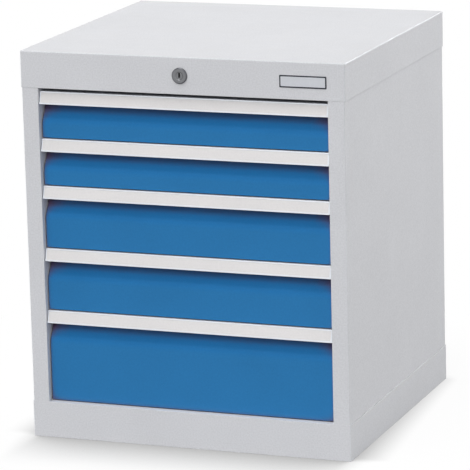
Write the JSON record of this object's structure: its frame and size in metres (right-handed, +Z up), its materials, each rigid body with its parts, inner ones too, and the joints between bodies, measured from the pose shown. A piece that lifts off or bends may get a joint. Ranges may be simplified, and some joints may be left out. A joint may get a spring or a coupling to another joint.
{
  "type": "drawer cabinet",
  "caption": "Low steel cabinet on a plinth with drawers of graded heights on roller slides, full-width handle strips and one central lock in the top cover.",
  "frame": {"origin": "on the floor under the middle of the cabinet", "axes": "+X to the cabinet's right as seen from its front, -Y to the front where the drawers open, +Z up"},
  "size_m": [0.53, 0.5025, 0.619],
  "materials": {
    "housing_paint": "light grey powder coat, fine texture, satin",
    "front_paint": "mid blue powder coat, satin",
    "tray_paint": "light grey powder coat, satin",
    "strip_aluminium": "matt anodised extrusion",
    "zinc_steel": "zinc plated sheet",
    "slide_steel": "zinc plated, lightly greased races",
    "cage_steel": "bright rollers in plain steel cages",
    "lock_metal": "satin nickel-chrome die casting",
    "rivet_aluminium": "plain blind rivet",
    "guide_plastic": "black moulded nylon"
  },
  "bodies": {
    "housing": {"top_cover": "housing_paint", "base_plinth": "housing_paint", "left_side_panel": "housing_paint", "right_side_panel": "housing_paint", "back_panel": "housing_paint", "back_panel_rivets": "rivet_aluminium", "left_front_upright": "zinc_steel", "left_rear_upright": "zinc_steel", "right_front_upright": "zinc_steel", "right_rear_upright": "zinc_steel", "left_outer_rail_1": "slide_steel", "right_outer_rail_1": "slide_steel", "left_outer_rail_2": "slide_steel", "right_outer_rail_2": "slide_steel", "left_outer_rail_3": "slide_steel", "right_outer_rail_3": "slide_steel", "left_outer_rail_4": "slide_steel", "right_outer_rail_4": "slide_steel", "left_outer_rail_5": "slide_steel", "right_outer_rail_5": "slide_steel", "lock_barrel": "lock_metal", "lock_nut": "lock_metal", "shaft_bracket": "zinc_steel", "bar_guides": "guide_plastic"},
    "drawer_1": {"drawer_tray_1": "tray_paint", "drawer_front_1": "front_paint", "handle_strip_1": "strip_aluminium", "left_drawer_rail_1": "slide_steel", "right_drawer_rail_1": "slide_steel"},
    "cages_1": {"roller_cages_1": "cage_steel"},
    "drawer_2": {"drawer_tray_2": "tray_paint", "drawer_front_2": "front_paint", "handle_strip_2": "strip_aluminium", "left_drawer_rail_2": "slide_steel", "right_drawer_rail_2": "slide_steel"},
    "cages_2": {"roller_cages_2": "cage_steel"},
    "drawer_3": {"drawer_tray_3": "tray_paint", "drawer_front_3": "front_paint", "handle_strip_3": "strip_aluminium", "left_drawer_rail_3": "slide_steel", "right_drawer_rail_3": "slide_steel"},
    "cages_3": {"roller_cages_3": "cage_steel"},
    "drawer_4": {"drawer_tray_4": "tray_paint", "drawer_front_4": "front_paint", "handle_strip_4": "strip_aluminium", "left_drawer_rail_4": "slide_steel", "right_drawer_rail_4": "slide_steel"},
    "cages_4": {"roller_cages_4": "cage_steel"},
    "drawer_5": {"drawer_tray_5": "tray_paint", "drawer_front_5": "front_paint", "handle_strip_5": "strip_aluminium", "left_drawer_rail_5": "slide_steel", "right_drawer_rail_5": "slide_steel"},
    "cages_5": {"roller_cages_5": "cage_steel"},
    "lock_cylinder": {"lock_plug": "lock_metal", "lock_shaft": "zinc_steel", "lock_crank": "zinc_steel"},
    "locking_bar": {"lock_bar": "zinc_steel"}
  },
  "joints": [
    {"name": "drawer_1_slide", "type": "slide", "parent": "housing", "child": "drawer_1", "axis": [0, -1, 0], "range_m": [0, 0.33]},
    {"name": "drawer_2_slide", "type": "slide", "parent": "housing", "child": "drawer_2", "axis": [0, -1, 0], "range_m": [0, 0.33]},
    {"name": "drawer_3_slide", "type": "slide", "parent": "housing", "child": "drawer_3", "axis": [0, -1, 0], "range_m": [0, 0.33]},
    {"name": "drawer_4_slide", "type": "slide", "parent": "housing", "child": "drawer_4", "axis": [0, -1, 0], "range_m": [0, 0.33]},
    {"name": "drawer_5_slide", "type": "slide", "parent": "housing", "child": "drawer_5", "axis": [0, -1, 0], "range_m": [0, 0.33]},
    {"name": "cages_1_slide", "type": "slide", "parent": "housing", "child": "cages_1", "axis": [0, -1, 0], "range_m": [0, 0.165]},
    {"name": "cages_2_slide", "type": "slide", "parent": "housing", "child": "cages_2", "axis": [0, -1, 0], "range_m": [0, 0.165]},
    {"name": "cages_3_slide", "type": "slide", "parent": "housing", "child": "cages_3", "axis": [0, -1, 0], "range_m": [0, 0.165]},
    {"name": "cages_4_slide", "type": "slide", "parent": "housing", "child": "cages_4", "axis": [0, -1, 0], "range_m": [0, 0.165]},
    {"name": "cages_5_slide", "type": "slide", "parent": "housing", "child": "cages_5", "axis": [0, -1, 0], "range_m": [0, 0.165]},
    {"name": "lock_turn", "type": "hinge", "parent": "housing", "child": "lock_cylinder", "pos_m": [0, -0.25, 0.59], "axis": [0, 1, 0], "range_deg": [0, 90]},
    {"name": "locking_bar_lift", "type": "slide", "parent": "housing", "child": "locking_bar", "axis": [0, 0, 1], "range_m": [0, 0.00848]}
  ],
  "couplings": [
    {"joint": "cages_1_slide", "follows": "drawer_1_slide", "ratio": 0.5},
    {"joint": "cages_2_slide", "follows": "drawer_2_slide", "ratio": 0.5},
    {"joint": "cages_3_slide", "follows": "drawer_3_slide", "ratio": 0.5},
    {"joint": "cages_4_slide", "follows": "drawer_4_slide", "ratio": 0.5},
    {"joint": "cages_5_slide", "follows": "drawer_5_slide", "ratio": 0.5},
    {"joint": "lock_turn", "follows": "locking_bar_lift", "rad_per_m": 185.12}
  ]
}
